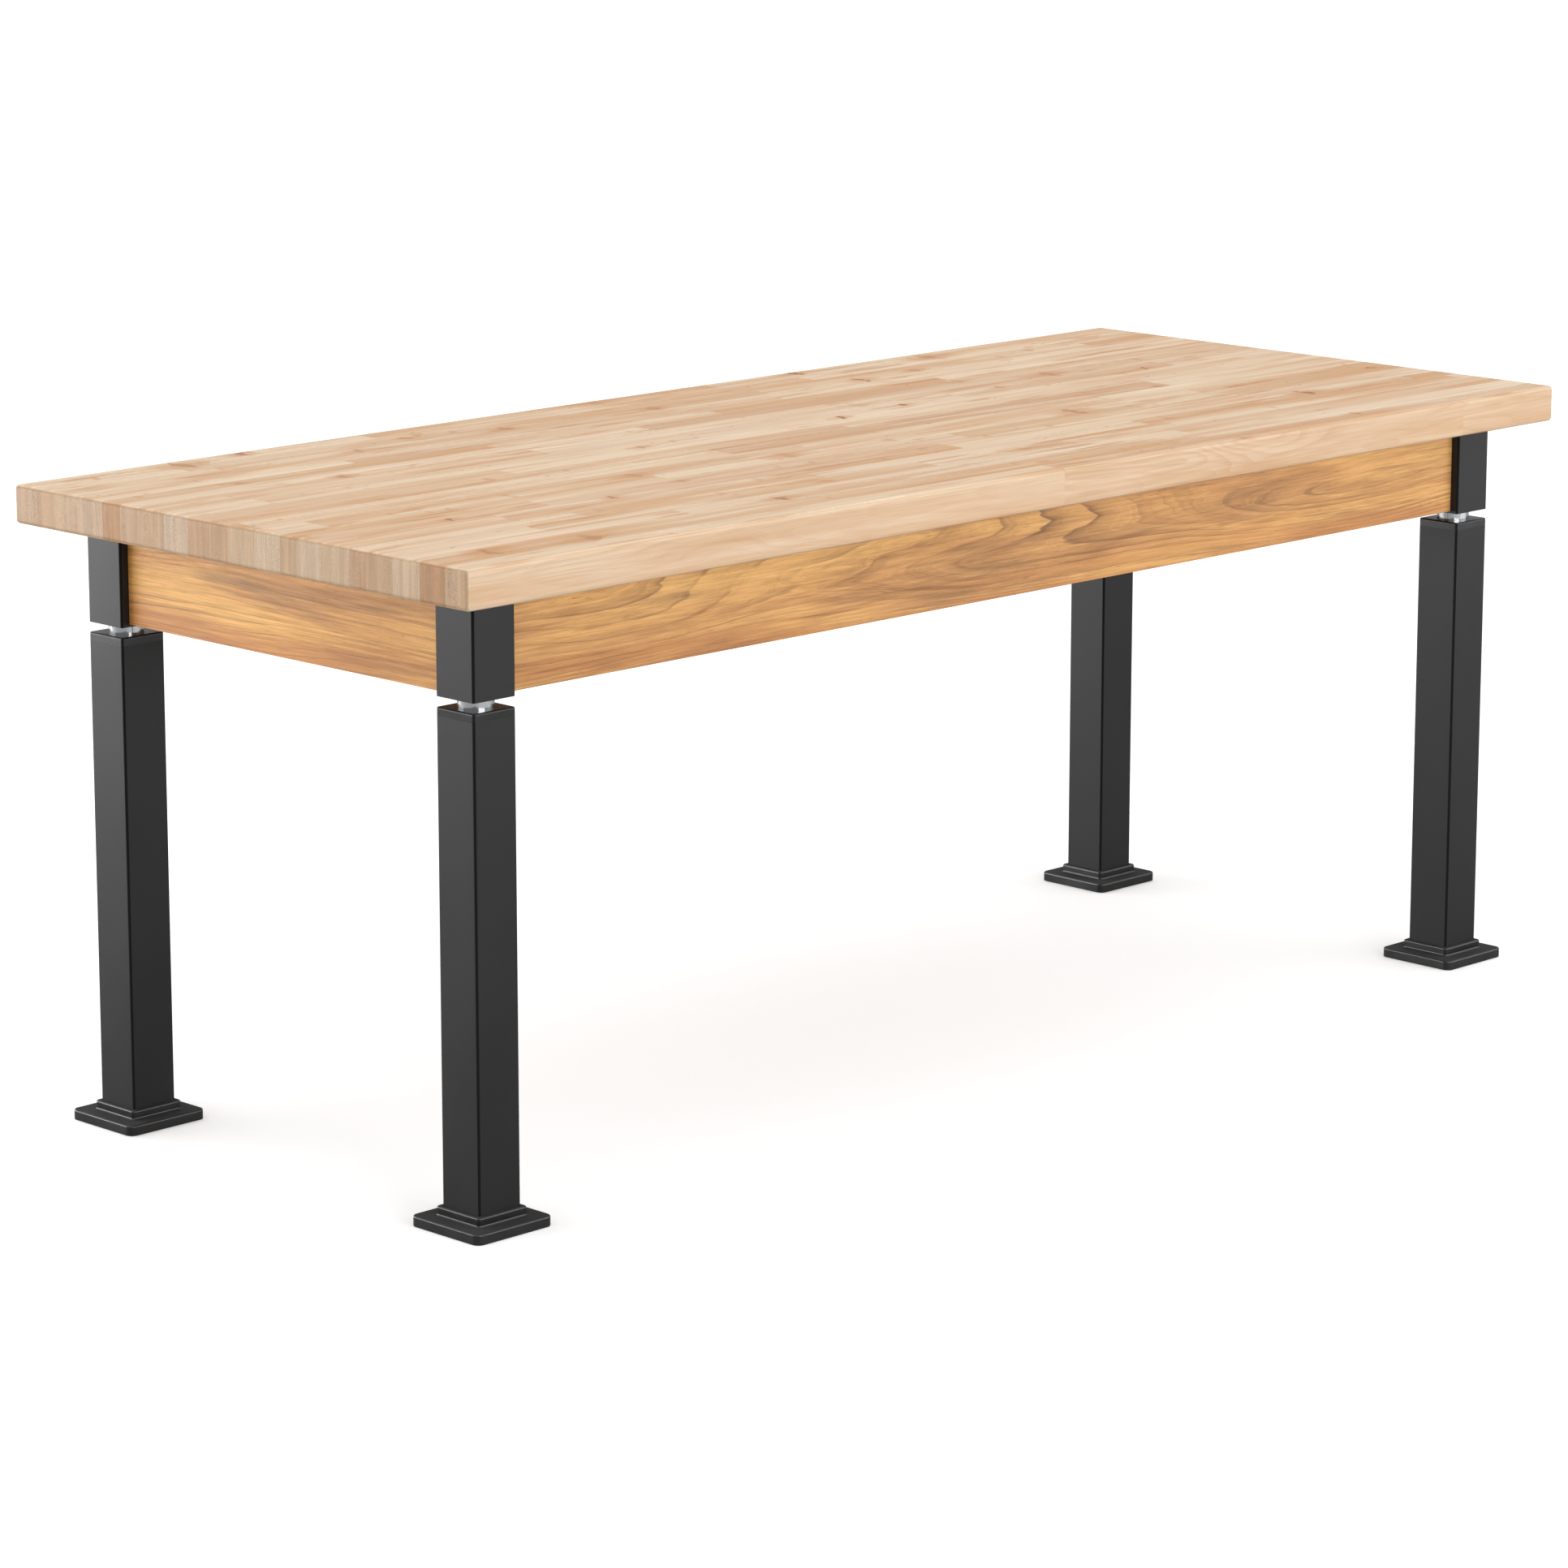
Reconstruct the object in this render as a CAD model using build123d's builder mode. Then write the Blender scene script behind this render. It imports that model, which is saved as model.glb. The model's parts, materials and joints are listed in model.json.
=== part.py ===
from build123d import *
import os

# Height-adjustable butcher block table.
# Frame: +X runs along the table, +Y towards its back, +Z up. The origin is the middle of the
# footprint on the floor. The table is at its lowest height. Millimetres.

# ---- driving dimensions ----------------------------------------------------------------------

# butcher block top
top_length = 1828.8
top_width = 762.0
top_thickness = 44.45
top_edge_radius = 5.0
table_height = 739.0

# square posts and legs
tube_size = 60.0
tube_wall = 3.0
tube_corner_radius = 3.0
tube_inner_radius = 1.0
post_overhang = 56.5            # top edge to the post's outer face
post_height = 112.25
neck_gap = 11.3                 # chrome column showing between post and leg
plug_clearance = 0.1            # each side of a square plug or glide in its tube

# lift columns, one in each leg
stroke = 305.0                  # 12 in of height adjustment
column_radius = 20.0
column_wall = 3.0
column_bottom = 40.0
column_top = 640.0
bore_clearance = 0.08           # running fit of the column in the leg cap
seat_clearance = 0.05           # parts that are assembled on or in each other
cap_lip = 9.7
cap_edge_radius = 2.0
cap_plug_depth = 30.0
glide_height = 60.0
plate_thickness = 8.0
plate_corner_radius = 1.5

# oil cylinder inside each column
barrel_radius = 15.0
barrel_bore_radius = 10.0
barrel_cap_thickness = 12.0
gland_length = 25.0
rod_radius = 8.0
rod_top = 620.0
rod_overlap = 10.0              # rod left above the gland at full height
spigot_radius = 8.0
spigot_length = 22.0
nut_across_flats = 26.0
nut_height = 10.0

# feet
foot_width = 110.0
foot_corner_radius = 9.5
foot_flange_height = 12.0
foot_top_radius = 2.0
foot_bottom_radius = 1.0
boss_width = 70.5
boss_corner_radius = 4.5
boss_height = 10.5
boss_edge_radius = 2.0
foot_floor = 8.0                # the leg tube stands on this
socket_width = 60.8
leg_base_thickness = 10.0
foot_screw_radius = 4.0
foot_screw_head_radius = 8.0
foot_screw_sink = 0.5           # the head sits this far inside the foot's sole
foot_screw_socket_flats = 5.0
foot_screw_socket_depth = 2.5
foot_screw_length = 34.0

# aprons
apron_setback = 11.0            # behind the posts' outer faces
apron_thickness = 19.0
apron_height = 109.75
apron_edge_radius = 0.8
kerf_drop = 11.0                # bottom of the saw kerf, below the top's underside
kerf_width = 3.0
kerf_depth = 8.0

# sheet metal and fasteners
sheet = 3.0
bracket_leg = 28.0
bracket_height = 60.0
bracket_middle_z = 616.0
bracket_screw_spacing = 36.0
bracket_screw_offset = 16.0
flange_size = 90.0
flange_thickness = 5.0
screw_radius = 2.5
screw_head_radius = 4.8
screw_head_height = 3.0
screw_head_top_radius = 3.6
cross_length = 5.0
cross_width = 1.0
cross_depth = 1.4
wood_screw_length = 20.0
bolt_length = 12.0
clip_width = 16.0
clip_sheet = 2.0
clip_reach = 22.0
clip_tongue = 6.0
clip_screw_reach = 14.0

# oil pump under the top, turned by a removable crank from the back of the table
pump_axis_z = 673.0
pump_half_width = 78.0
pump_block_height = 40.0
pump_block_length = 132.0
pump_bore_radius = 14.0
pump_bore_floor = 7.0
pump_bore_xs = (-58.0, -24.0, 24.0, 58.0)
pump_port_radius = 3.0
pump_channel_length = 272.0
pump_flange_width = 20.0
pump_end_plate_thickness = 10.0
piston_length = 20.0
piston_clearance = 0.08
piston_rod_radius = 6.0
yoke_front = 240.0
yoke_thickness = 15.0
spindle_radius = 7.0
spindle_journal_radius = 5.0
spindle_neck_radius = 6.0
spindle_journal_depth = 15.0
hex_across_flats = 10.0
bushing_shank_radius = 11.0
bushing_bore_radius = 8.5
bushing_flange_radius = 17.0
bushing_flange_thickness = 2.0

# oil hoses
hose_radius = 4.0
hose_bend = 40.0
hose_inset = 20.0               # hose centre line to the post's centre lines
hose_start = 12.0               # end of the corner fitting, along each axis from the post's centre
hose_corner_bend = 12.0
hose_hole_radius = 5.5
rear_hose_run_y = -200.0
fitting_radius = 9.0
fitting_bottom = 662.0
fitting_height = 22.0
fitting_outlet_radius = 6.0
pump_fitting_length = 12.0
hose_clip_width = 14.0
hose_clip_length = 12.0

# ---- derived places --------------------------------------------------------------------------

slab_z = table_height - top_thickness
post_bottom = slab_z - post_height
leg_top = post_bottom - neck_gap
leg_tube_top = leg_top - cap_lip
half_tube = tube_size / 2
post_x = top_length / 2 - post_overhang - half_tube
post_y = top_width / 2 - post_overhang - half_tube
apron_outer_x = post_x + half_tube - apron_setback
apron_outer_y = post_y + half_tube - apron_setback
apron_inner_x = apron_outer_x - apron_thickness
apron_inner_y = apron_outer_y - apron_thickness
post_inner_x = post_x - half_tube
post_inner_y = post_y - half_tube
inner_width = tube_size - 2 * tube_wall
plug_width = inner_width - 2 * plug_clearance
plate_width = inner_width
pump_block_bottom = pump_axis_z - pump_block_height / 2
barrel_bottom = rod_top - rod_overlap - stroke - gland_length
end_plate_y = pump_channel_length - pump_end_plate_thickness

on_base = (Align.CENTER, Align.CENTER, Align.MIN)
below_base = (Align.CENTER, Align.CENTER, Align.MAX)

corners = {
    "front_left": (-1, -1),
    "front_right": (1, -1),
    "rear_left": (-1, 1),
    "rear_right": (1, 1),
}


def centre_of(sx, sy):
    """Centre of the leg in the corner with these signs."""
    return sx * post_x, sy * post_y


all_centres = [centre_of(*signs) for signs in corners.values()]


def save(piece, name):
    """Label a finished piece and write it to its own STEP file."""
    piece.part.label = name
    export_step(piece.part, f"parts/{name}.step")


def screw(plane, length):
    """Cross-head screw: head on the +Z side of the plane, shank down its -Z side."""
    with Locations(plane):
        Cone(screw_head_radius, screw_head_top_radius, screw_head_height, align=on_base)
        Cylinder(screw_radius, length, align=below_base)
    with Locations(plane.offset(screw_head_height)):
        Box(cross_length, cross_width, 2 * cross_depth, mode=Mode.SUBTRACT)
        Box(cross_width, cross_length, 2 * cross_depth, mode=Mode.SUBTRACT)


os.makedirs("parts", exist_ok=True)

# ---- places of the fasteners that go up into the top -----------------------------------------

# three screws in each post flange, clear of the hoses
flange_screw_points = [
    (sx * (post_x - dx), sy * (post_y - dy))
    for sx, sy in corners.values()
    for dx, dy in ((73.0, 73.0), (43.0, 73.0), (73.0, 43.0))
]

# apron clips: point on the apron's inner face, and the inward direction
long_clip_xs = (-600.0, -200.0, 200.0, 600.0)
clip_places = [((x, -apron_inner_y), (0, 1)) for x in long_clip_xs]
clip_places += [((x, apron_inner_y), (0, -1)) for x in long_clip_xs]
clip_places += [((-apron_inner_x, 0.0), (1, 0)), ((apron_inner_x, 0.0), (-1, 0))]
clip_screw_points = [
    (x + nx * clip_screw_reach, y + ny * clip_screw_reach) for (x, y), (nx, ny) in clip_places
]

pump_flange_x = pump_half_width + sheet + pump_flange_width / 2
pump_screw_points = [(sx * pump_flange_x, y) for sx in (-1, 1) for y in (20.0, 100.0, 180.0, 250.0)]


# ---- butcher block top -----------------------------------------------------------------------

with BuildPart() as butcher_block_top:
    with BuildSketch(Plane.XY.offset(slab_z)):
        Rectangle(top_length, top_width)
    extrude(amount=top_thickness)
    fillet(butcher_block_top.edges().filter_by(Axis.Z), top_edge_radius)
    fillet(butcher_block_top.faces().sort_by(Axis.Z)[-1].edges(), top_edge_radius)
    fillet(butcher_block_top.faces().sort_by(Axis.Z)[0].edges(), top_edge_radius)
    with BuildSketch(Plane.XY.offset(slab_z)):
        with Locations(*flange_screw_points, *clip_screw_points, *pump_screw_points):
            Circle(screw_radius + seat_clearance)
    extrude(amount=wood_screw_length, mode=Mode.SUBTRACT)
save(butcher_block_top, "butcher_block_top")


# ---- aprons ----------------------------------------------------------------------------------

def bracket_places():
    """Inner corners between post and apron: point, direction along the apron, direction inward."""
    places = []
    for sx, sy in corners.values():
        places.append(((sx * post_inner_x, sy * apron_inner_y), (-sx, 0), (0, -sy)))
        places.append(((sx * apron_inner_x, sy * post_inner_y), (0, -sy), (-sx, 0)))
    return places


def bracket_screw_planes(along_apron):
    """Planes on a bracket's inside faces, facing away from the apron or from the post."""
    planes = []
    for (x, y), u, v in bracket_places():
        run, face = (u, v) if along_apron else (v, u)
        px = x + run[0] * bracket_screw_offset + face[0] * sheet
        py = y + run[1] * bracket_screw_offset + face[1] * sheet
        for dz in (-bracket_screw_spacing / 2, bracket_screw_spacing / 2):
            origin = (px, py, bracket_middle_z + dz)
            planes.append(Plane(origin=origin, x_dir=(0, 0, 1), z_dir=(*face, 0)))
    return planes


wood_planes = bracket_screw_planes(along_apron=True)
bolt_planes = bracket_screw_planes(along_apron=False)


def apron_board(length, outer, sign, along_x):
    """Board on edge under the top, with a saw kerf for the clips along its inner face."""
    face = Plane.XZ if along_x else Plane.YZ
    normal = -1 if along_x else 1
    middle = sign * (outer - apron_thickness / 2)
    with BuildPart() as board:
        with BuildSketch(face.offset(normal * middle)):
            with Locations((0, slab_z - apron_height / 2)):
                Rectangle(length, apron_height)
        extrude(amount=apron_thickness / 2, both=True)
        lower_edges = board.faces().sort_by(Axis.Z)[0].edges()
        fillet(lower_edges.filter_by(Axis.X if along_x else Axis.Y), apron_edge_radius)
        inner = sign * (outer - apron_thickness + kerf_depth / 2)
        with BuildSketch(face.offset(normal * inner)):
            with Locations((0, slab_z - kerf_drop + kerf_width / 2)):
                Rectangle(length, kerf_width)
        extrude(amount=kerf_depth / 2, both=True, mode=Mode.SUBTRACT)
        inward = (0, -sign, 0) if along_x else (-sign, 0, 0)
        for plane in wood_planes:
            on_this_board = plane.z_dir.dot(Vector(*inward)) > 0.5
            if on_this_board:
                with BuildSketch(plane):
                    Circle(screw_radius + seat_clearance)
                extrude(amount=-wood_screw_length, mode=Mode.SUBTRACT)
    return board


def long_apron(sign):
    return apron_board(2 * post_inner_x, apron_outer_y, sign, along_x=True)


save(long_apron(-1), "front_apron")

with BuildPart() as rear_apron:
    add(long_apron(1).part)
    with BuildSketch(Plane.XZ.offset(-apron_outer_y)):
        with Locations((0, pump_axis_z)):
            Circle(bushing_shank_radius + seat_clearance)
    extrude(amount=apron_thickness, mode=Mode.SUBTRACT)
save(rear_apron, "rear_apron")

for side, sign in (("left", -1), ("right", 1)):
    save(apron_board(2 * post_inner_y, apron_outer_x, sign, along_x=False), f"{side}_apron")


# ---- corner posts, with the plates welded in them --------------------------------------------

def hose_wall_plane(sx, sy):
    """Inner wall of the post that its oil hose comes in through: the front posts' wall faces
    along the table, and the rear posts' wall faces the front."""
    if sy < 0:
        return Plane(origin=(sx * post_inner_x, sy * (post_y - hose_inset), pump_axis_z), z_dir=(-sx, 0, 0))
    return Plane(origin=(sx * (post_x - hose_inset), sy * post_inner_y, pump_axis_z), z_dir=(0, -sy, 0))


def corner_post(sx, sy):
    cx, cy = centre_of(sx, sy)
    with BuildPart() as post:
        with BuildSketch(Plane.XY.offset(post_bottom)):
            with Locations((cx, cy)):
                RectangleRounded(tube_size, tube_size, tube_corner_radius)
                RectangleRounded(inner_width, inner_width, tube_inner_radius, mode=Mode.SUBTRACT)
        extrude(amount=post_height)
        with BuildSketch(hose_wall_plane(sx, sy)):
            Circle(hose_hole_radius)
        extrude(amount=-2 * tube_wall, mode=Mode.SUBTRACT)
        for plane in bolt_planes:
            near_x = abs(plane.origin.X - cx) < tube_size
            near_y = abs(plane.origin.Y - cy) < tube_size
            if near_x and near_y:
                with BuildSketch(plane):
                    Circle(screw_radius + seat_clearance)
                extrude(amount=-bolt_length, mode=Mode.SUBTRACT)
    return post


for corner, signs in corners.items():
    save(corner_post(*signs), f"{corner}_post")


def tube_plates(z, hole_radius):
    """One square plate with a round hole in each post."""
    with BuildPart() as plates:
        with BuildSketch(Plane.XY.offset(z)):
            with Locations(*all_centres):
                RectangleRounded(plate_width, plate_width, plate_corner_radius)
                Circle(hole_radius, mode=Mode.SUBTRACT)
        extrude(amount=plate_thickness)
    return plates


save(tube_plates(post_bottom, column_radius + seat_clearance), "post_base_plates")
save(tube_plates(column_top, spigot_radius + seat_clearance), "post_head_plates")

# flanges, notched around the posts, that carry the top
with BuildPart() as post_flanges:
    for sx, sy in corners.values():
        with BuildSketch(Plane.XY.offset(slab_z - flange_thickness)):
            middle_x = sx * (post_x - flange_size / 2)
            middle_y = sy * (post_y - flange_size / 2)
            with Locations((middle_x, middle_y)):
                Rectangle(flange_size, flange_size)
            with Locations(centre_of(sx, sy)):
                Rectangle(tube_size, tube_size, mode=Mode.SUBTRACT)
        extrude(amount=flange_thickness)
    with BuildSketch(Plane.XY.offset(slab_z - flange_thickness)):
        with Locations(*flange_screw_points):
            Circle(screw_radius + seat_clearance)
    extrude(amount=flange_thickness, mode=Mode.SUBTRACT)
save(post_flanges, "post_flanges")


def upward_screws(points, z, length=wood_screw_length):
    """Screws driven up, with their heads under height z."""
    with BuildPart() as screws:
        for x, y in points:
            screw(Plane(origin=(x, y, z), x_dir=(1, 0, 0), z_dir=(0, 0, -1)), length)
    return screws


save(upward_screws(flange_screw_points, slab_z - flange_thickness), "flange_screws")


# ---- apron brackets and clips ----------------------------------------------------------------

with BuildPart() as apron_brackets:
    for (x, y), u, v in bracket_places():
        turn = u[0] * v[1] - u[1] * v[0]
        corner_plane = Plane(origin=(x, y, bracket_middle_z), x_dir=(*u, 0), z_dir=(0, 0, turn))
        with BuildSketch(corner_plane):
            Rectangle(bracket_leg, sheet, align=(Align.MIN, Align.MIN))
            Rectangle(sheet, bracket_leg, align=(Align.MIN, Align.MIN))
        extrude(amount=bracket_height / 2, both=True)
    for plane in wood_planes + bolt_planes:
        with BuildSketch(plane):
            Circle(screw_radius + seat_clearance)
        extrude(amount=-sheet, mode=Mode.SUBTRACT)
save(apron_brackets, "apron_brackets")

with BuildPart() as bracket_wood_screws:
    for plane in wood_planes:
        screw(plane, sheet + apron_thickness - kerf_depth)
save(bracket_wood_screws, "bracket_wood_screws")

with BuildPart() as bracket_bolts:
    for plane in bolt_planes:
        screw(plane, bolt_length)
save(bracket_bolts, "bracket_bolts")

# Z-shaped clips: a tongue in the kerf, and a tab screwed under the top
with BuildPart() as top_clips:
    for (x, y), (nx, ny) in clip_places:
        profile_plane = Plane(origin=(x, y, slab_z), x_dir=(nx, ny, 0), z_dir=(ny, -nx, 0))
        tongue_top = kerf_width / 2 + clip_sheet / 2 - kerf_drop
        with BuildSketch(profile_plane):
            Polygon(
                (-clip_tongue, tongue_top - clip_sheet),
                (clip_sheet, tongue_top - clip_sheet),
                (clip_sheet, -clip_sheet),
                (clip_reach, -clip_sheet),
                (clip_reach, 0),
                (0, 0),
                (0, tongue_top),
                (-clip_tongue, tongue_top),
                align=None,
            )
        extrude(amount=clip_width / 2, both=True)
    with BuildSketch(Plane.XY.offset(slab_z - clip_sheet)):
        with Locations(*clip_screw_points):
            Circle(screw_radius + seat_clearance)
    extrude(amount=clip_sheet, mode=Mode.SUBTRACT)
save(top_clips, "top_clips")
save(upward_screws(clip_screw_points, slab_z - clip_sheet), "clip_screws")


# ---- lift columns and oil cylinders ----------------------------------------------------------

def lift_column(cx, cy):
    with BuildPart() as column:
        with BuildSketch(Plane.XY.offset(column_bottom)):
            with Locations((cx, cy)):
                Circle(column_radius)
                Circle(column_radius - column_wall, mode=Mode.SUBTRACT)
        extrude(amount=column_top - column_bottom)
    return column


for corner, signs in corners.items():
    save(lift_column(*centre_of(*signs)), f"{corner}_lift_column")

# square nylon glides on the columns' lower ends keep the legs from turning
with BuildPart() as column_glides:
    with BuildSketch(Plane.XY.offset(column_bottom)):
        with Locations(*all_centres):
            RectangleRounded(plug_width, plug_width, plate_corner_radius)
            Circle(column_radius + seat_clearance, mode=Mode.SUBTRACT)
    extrude(amount=glide_height)
save(column_glides, "column_glides")

# barrels hang from the head plates; the rod comes out through the gland at the bottom
with BuildPart() as cylinder_barrels:
    with BuildSketch(Plane.XY.offset(barrel_bottom)):
        with Locations(*all_centres):
            Circle(barrel_radius)
    extrude(amount=column_top - barrel_bottom)
    with BuildSketch(Plane.XY.offset(column_top)):
        with Locations(*all_centres):
            Circle(spigot_radius)
    extrude(amount=spigot_length)
    with BuildSketch(Plane.XY.offset(barrel_bottom + gland_length)):
        with Locations(*all_centres):
            Circle(barrel_bore_radius)
    extrude(amount=column_top - barrel_cap_thickness - barrel_bottom - gland_length, mode=Mode.SUBTRACT)
    with BuildSketch(Plane.XY.offset(barrel_bottom)):
        with Locations(*all_centres):
            Circle(rod_radius + bore_clearance)
    extrude(amount=gland_length, mode=Mode.SUBTRACT)
    with BuildSketch(Plane.XY.offset(column_top - barrel_cap_thickness)):
        with Locations(*all_centres):
            Circle(pump_port_radius)
    extrude(amount=barrel_cap_thickness + spigot_length, mode=Mode.SUBTRACT)
save(cylinder_barrels, "cylinder_barrels")

with BuildPart() as cylinder_nuts:
    with BuildSketch(Plane.XY.offset(column_top + plate_thickness)):
        with Locations(*all_centres):
            RegularPolygon(nut_across_flats / 2, 6, major_radius=False)
            Circle(spigot_radius + seat_clearance, mode=Mode.SUBTRACT)
    extrude(amount=nut_height)
save(cylinder_nuts, "cylinder_nuts")


# ---- legs: everything that stays on the floor as the table rises -----------------------------

def leg_tube(cx, cy):
    """Square tube with a base plate welded in its lower end."""
    with BuildPart() as tube:
        with BuildSketch(Plane.XY.offset(foot_floor)):
            with Locations((cx, cy)):
                RectangleRounded(tube_size, tube_size, tube_corner_radius)
                RectangleRounded(inner_width, inner_width, tube_inner_radius, mode=Mode.SUBTRACT)
        extrude(amount=leg_tube_top - foot_floor)
        with BuildSketch(Plane.XY.offset(foot_floor)):
            with Locations((cx, cy)):
                Rectangle(inner_width + tube_wall, inner_width + tube_wall)
                Circle(foot_screw_radius + seat_clearance, mode=Mode.SUBTRACT)
        extrude(amount=leg_base_thickness)
    return tube


def leg_cap(cx, cy):
    """Glossy guide cap: a lip flush with the tube, and a plug inside it, bored for the column."""
    with BuildPart() as cap:
        with BuildSketch(Plane.XY.offset(leg_tube_top)):
            with Locations((cx, cy)):
                RectangleRounded(tube_size, tube_size, tube_corner_radius)
        extrude(amount=cap_lip)
        fillet(cap.faces().sort_by(Axis.Z)[-1].edges(), cap_edge_radius)
        with BuildSketch(Plane.XY.offset(leg_tube_top)):
            with Locations((cx, cy)):
                RectangleRounded(plug_width, plug_width, plate_corner_radius)
        extrude(amount=-cap_plug_depth)
        with BuildSketch(Plane.XY.offset(leg_tube_top - cap_plug_depth)):
            with Locations((cx, cy)):
                Circle(column_radius + bore_clearance)
        extrude(amount=cap_plug_depth + cap_lip, mode=Mode.SUBTRACT)
    return cap


def foot_plinth(cx, cy):
    """Moulded foot: a broad flange, and a boss whose socket takes the leg tube."""
    with BuildPart() as foot:
        with BuildSketch():
            with Locations((cx, cy)):
                RectangleRounded(foot_width, foot_width, foot_corner_radius)
        extrude(amount=foot_flange_height)
        fillet(foot.faces().sort_by(Axis.Z)[-1].edges(), foot_top_radius)
        fillet(foot.faces().sort_by(Axis.Z)[0].edges(), foot_bottom_radius)
        with BuildSketch(Plane.XY.offset(foot_flange_height)):
            with Locations((cx, cy)):
                RectangleRounded(boss_width, boss_width, boss_corner_radius)
        extrude(amount=boss_height)
        fillet(foot.faces().sort_by(Axis.Z)[-1].edges(), boss_edge_radius)
        on_flange = foot.edges().filter_by_position(Axis.Z, foot_flange_height, foot_flange_height)
        boss_reach = boss_width / 2 + boss_edge_radius
        cove = [
            edge for edge in on_flange
            if abs(edge.center().X - cx) < boss_reach and abs(edge.center().Y - cy) < boss_reach
        ]
        fillet(cove, boss_edge_radius)
        with BuildSketch(Plane.XY.offset(foot_floor)):
            with Locations((cx, cy)):
                RectangleRounded(socket_width, socket_width, tube_corner_radius)
        extrude(amount=foot_flange_height + boss_height - foot_floor, mode=Mode.SUBTRACT)
        with Locations(Plane(origin=(cx, cy, 0), x_dir=(1, 0, 0), z_dir=(0, 0, -1))):
            CounterSinkHole(
                foot_screw_radius + seat_clearance,
                foot_screw_head_radius + seat_clearance,
                foot_floor,
            )
    return foot


def lift_rod(cx, cy):
    """Cylinder rod standing on the leg's base plate, tapped at its foot."""
    rod_bottom = foot_floor + leg_base_thickness
    tapped_depth = foot_screw_length - foot_floor - leg_base_thickness + 2.0
    with BuildPart() as rod:
        with BuildSketch(Plane.XY.offset(rod_bottom)):
            with Locations((cx, cy)):
                Circle(rod_radius)
        extrude(amount=rod_top - rod_bottom)
        chamfer(rod.faces().sort_by(Axis.Z)[-1].edges(), 1.0)
        with BuildSketch(Plane.XY.offset(rod_bottom)):
            with Locations((cx, cy)):
                Circle(foot_screw_radius + seat_clearance)
        extrude(amount=tapped_depth, mode=Mode.SUBTRACT)
    return rod


def foot_screw(cx, cy):
    """Flat-head screw up through the foot and the leg's base plate into the rod."""
    with BuildPart() as flat_head:
        with BuildSketch(Plane.XY.offset(foot_screw_sink)):
            with Locations((cx, cy)):
                Circle(foot_screw_radius)
        extrude(amount=foot_screw_length - foot_screw_sink)
        with BuildSketch(Plane.XY.offset(foot_screw_sink)):
            with Locations((cx, cy)):
                Circle(foot_screw_head_radius - foot_screw_sink)
        with BuildSketch(Plane.XY.offset(foot_screw_head_radius - foot_screw_radius)):
            with Locations((cx, cy)):
                Circle(foot_screw_radius)
        loft()
        with BuildSketch(Plane.XY.offset(foot_screw_sink)):
            with Locations((cx, cy)):
                RegularPolygon(foot_screw_socket_flats / 2, 6, major_radius=False)
        extrude(amount=foot_screw_socket_depth, mode=Mode.SUBTRACT)
    return flat_head


for corner, signs in corners.items():
    centre = centre_of(*signs)
    save(leg_tube(*centre), f"{corner}_leg_tube")
    save(leg_cap(*centre), f"{corner}_leg_cap")
    save(foot_plinth(*centre), f"{corner}_foot")
    save(lift_rod(*centre), f"{corner}_lift_rod")
    save(foot_screw(*centre), f"{corner}_foot_screw")


# ---- oil pump --------------------------------------------------------------------------------

with BuildPart() as pump_block:
    with BuildSketch(Plane.XZ):
        with Locations((0, pump_axis_z)):
            Rectangle(2 * pump_half_width, pump_block_height)
    extrude(amount=-pump_block_length)
    chamfer(pump_block.edges().filter_by(Axis.Y), 1.5)
    with BuildSketch(Plane.XZ.offset(-pump_bore_floor)):
        with Locations(*[(x, pump_axis_z) for x in pump_bore_xs]):
            Circle(pump_bore_radius)
    extrude(amount=-(pump_block_length - pump_bore_floor), mode=Mode.SUBTRACT)
    with BuildSketch(Plane.XZ):
        with Locations(*[(x, pump_axis_z) for x in pump_bore_xs]):
            Circle(pump_port_radius)
    extrude(amount=-pump_bore_floor, mode=Mode.SUBTRACT)
    with BuildSketch(Plane.XZ.offset(-(pump_block_length - spindle_journal_depth))):
        with Locations((0, pump_axis_z)):
            Circle(spindle_journal_radius + seat_clearance)
    extrude(amount=-spindle_journal_depth, mode=Mode.SUBTRACT)
save(pump_block, "pump_block")

# channel under the top: a tray with two flanges
with BuildPart() as pump_channel:
    with BuildSketch(Plane.XZ):
        tray_bottom = pump_block_bottom - sheet
        tray_half = pump_half_width + sheet
        with Locations((0, tray_bottom)):
            Rectangle(2 * tray_half, slab_z - tray_bottom, align=(Align.CENTER, Align.MIN))
        with Locations((0, pump_block_bottom)):
            Rectangle(
                2 * pump_half_width,
                slab_z - pump_block_bottom,
                align=(Align.CENTER, Align.MIN),
                mode=Mode.SUBTRACT,
            )
        with Locations((-pump_flange_x, slab_z - sheet), (pump_flange_x, slab_z - sheet)):
            Rectangle(pump_flange_width, sheet, align=(Align.CENTER, Align.MIN))
    extrude(amount=-pump_channel_length)
    with BuildSketch(Plane.XY.offset(slab_z - sheet)):
        with Locations(*pump_screw_points):
            Circle(screw_radius + seat_clearance)
    extrude(amount=sheet, mode=Mode.SUBTRACT)
save(pump_channel, "pump_channel")
save(upward_screws(pump_screw_points, slab_z - sheet), "pump_screws")

with BuildPart() as pump_end_plate:
    with BuildSketch(Plane.XZ.offset(-end_plate_y)):
        with Locations((0, pump_axis_z)):
            Rectangle(2 * pump_half_width, pump_block_height)
            Circle(spindle_neck_radius + seat_clearance, mode=Mode.SUBTRACT)
    extrude(amount=-pump_end_plate_thickness)
save(pump_end_plate, "pump_end_plate")

with BuildPart() as pump_yoke:
    with BuildSketch(Plane.XZ.offset(-yoke_front)):
        with Locations((0, pump_axis_z)):
            Rectangle(2 * pump_half_width - 6.0, pump_block_height - 6.0)
            Circle(spindle_radius + seat_clearance, mode=Mode.SUBTRACT)
    extrude(amount=-yoke_thickness)
save(pump_yoke, "pump_yoke")

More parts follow.
